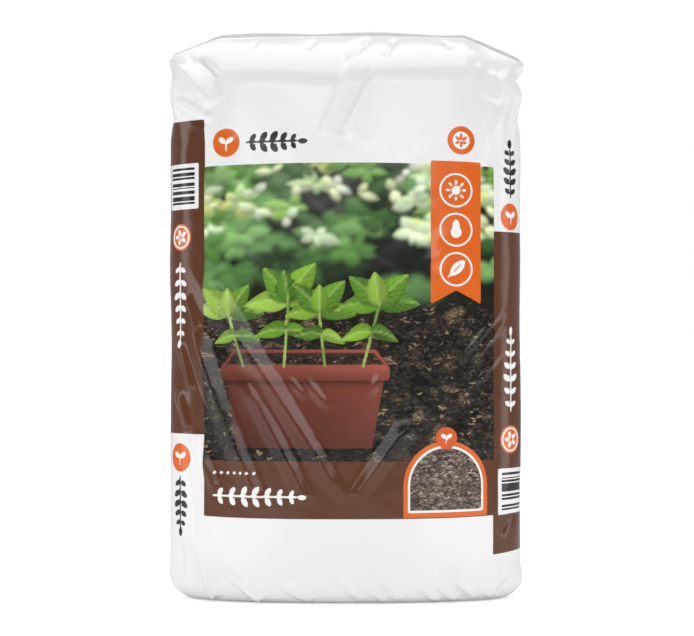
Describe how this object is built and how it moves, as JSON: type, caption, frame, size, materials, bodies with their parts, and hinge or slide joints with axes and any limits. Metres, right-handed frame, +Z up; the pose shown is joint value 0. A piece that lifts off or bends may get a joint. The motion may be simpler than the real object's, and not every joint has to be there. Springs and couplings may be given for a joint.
{
  "type": "sealed bag of compost",
  "caption": "Full, upright pillow-shaped bag of potting compost: white glossy film with printed brown and picture fields, a welded top seal between two ears, and a flat settled base.",
  "frame": {"origin": "centre of the bag's outline in plan, on the surface that it stands on", "axes": "+Z up along the bag's height, +Y through its thickness from front to back, +X across its width; the printed front faces -Y"},
  "size_m": [0.49, 0.1848, 0.7914],
  "materials": {
    "printed_film": "white polyethylene film, semi-gloss, printed in brown, green and orange fields"
  },
  "bodies": {
    "root": {"compost_bag": "printed_film"}
  },
  "joints": []
}
